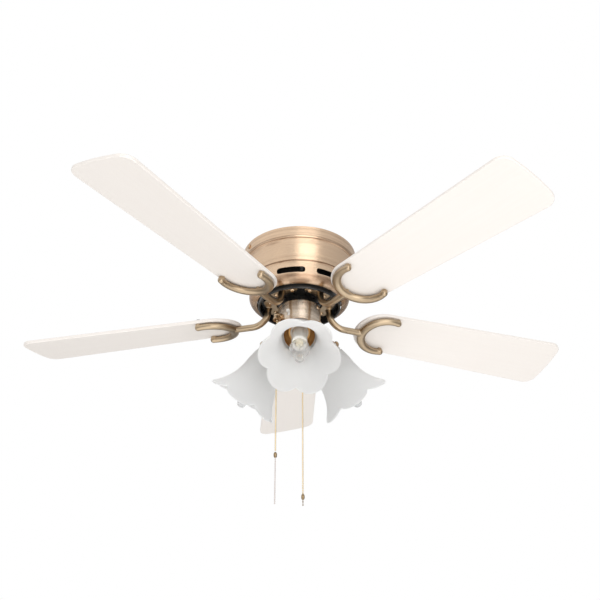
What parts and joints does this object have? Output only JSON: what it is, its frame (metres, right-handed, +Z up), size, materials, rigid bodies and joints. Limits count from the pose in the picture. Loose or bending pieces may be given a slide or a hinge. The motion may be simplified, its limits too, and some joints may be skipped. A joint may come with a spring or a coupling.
{
  "type": "ceiling fan with light",
  "caption": "Low ceiling fan in brushed antique brass with off-white blades on horseshoe irons, scalloped frosted glass shades on a light kit, and two pull chains.",
  "frame": {"origin": "centre of the mounting plate's back, on the ceiling", "axes": "+Z up, out of the ceiling side of the plate and along the spin axis; the front lamp points to -Y; +X is to the right seen from the front"},
  "size_m": [1.0352, 1.0052, 0.488],
  "materials": {
    "brass": "brushed antique brass, lacquered",
    "brass_screws": "antique brass plated screws",
    "steel": "zinc-plated steel",
    "rubber": "matt black rubber",
    "copper_wire": "enamelled copper wire",
    "black_motor": "semi-gloss black paint on cast aluminium",
    "black_plastic": "moulded black plastic",
    "white_plastic": "white moulded plastic",
    "bulb_cap": "rolled aluminium screw cap",
    "clear_glass": "clear",
    "frosted_glass": "frosted white glass",
    "blade_board": "off-white laminate on fibreboard, satin",
    "chain_brass": "polished bead chain",
    "coupling_bronze": "dark bronze"
  },
  "bodies": {
    "mounted": {"ceiling_plate": "steel", "housing": "brass", "housing_screws": "brass_screws", "motor_hanger": "steel", "rubber_mounts": "rubber", "hanger_bolts": "steel", "motor_shaft": "steel", "shaft_pin": "steel", "shaft_nut": "steel", "stator_core": "steel", "stator_windings": "copper_wire", "bearing_inner_rings": "steel", "bearing_balls": "steel", "switch_plate": "steel", "switch_housing": "brass", "switch_housing_screws": "brass_screws", "capacitor": "black_plastic", "speed_switch": "black_plastic", "reverse_switch": "black_plastic", "speed_bushing": "brass", "wire_nuts": "white_plastic", "light_kit_body": "brass", "light_switch": "black_plastic", "light_bushing": "brass", "kit_finial": "brass", "lamp_cup_1": "brass", "lamp_cup_2": "brass", "lamp_cup_3": "brass", "lamp_sockets": "white_plastic", "bulb_bases": "bulb_cap", "bulb_glass_1": "clear_glass", "bulb_glass_2": "clear_glass", "bulb_glass_3": "clear_glass", "shade_1": "frosted_glass", "shade_2": "frosted_glass", "shade_3": "frosted_glass", "shade_screws": "brass_screws"},
    "rotor": {"bearing_outer_rings": "steel", "rotor_upper_cover": "black_motor", "rotor_lower_cover": "black_motor", "rotor_ring": "steel", "rotor_screws": "steel", "blade_iron_1": "brass", "blade_iron_2": "brass", "blade_iron_3": "brass", "blade_iron_4": "brass", "blade_iron_5": "brass", "blade_1": "blade_board", "blade_2": "blade_board", "blade_3": "blade_board", "blade_4": "blade_board", "blade_5": "blade_board", "iron_screws": "brass_screws", "blade_screws": "brass_screws"},
    "speed_pull": {"speed_chain": "chain_brass", "speed_coupling": "coupling_bronze", "speed_chain_tail": "chain_brass"},
    "light_pull": {"light_chain": "chain_brass", "light_coupling": "coupling_bronze"},
    "reverse_knob": {"reverse_slider": "white_plastic"}
  },
  "joints": [
    {"name": "fan_spin", "type": "hinge", "parent": "mounted", "child": "rotor", "pos_m": [0, 0, -0.068], "axis": [0, 0, 1], "continuous": true},
    {"name": "speed_chain_pull", "type": "slide", "parent": "mounted", "child": "speed_pull", "axis": [0, 0, -1], "range_m": [0, 0.01], "stiffness_N_per_m": 150, "springref_m": -0.02},
    {"name": "light_chain_pull", "type": "slide", "parent": "mounted", "child": "light_pull", "axis": [0, 0, -1], "range_m": [0, 0.008], "stiffness_N_per_m": 150, "springref_m": -0.02},
    {"name": "reverse_slide", "type": "slide", "parent": "mounted", "child": "reverse_knob", "axis": [0, 0, -1], "range_m": [0, 0.006]}
  ]
}
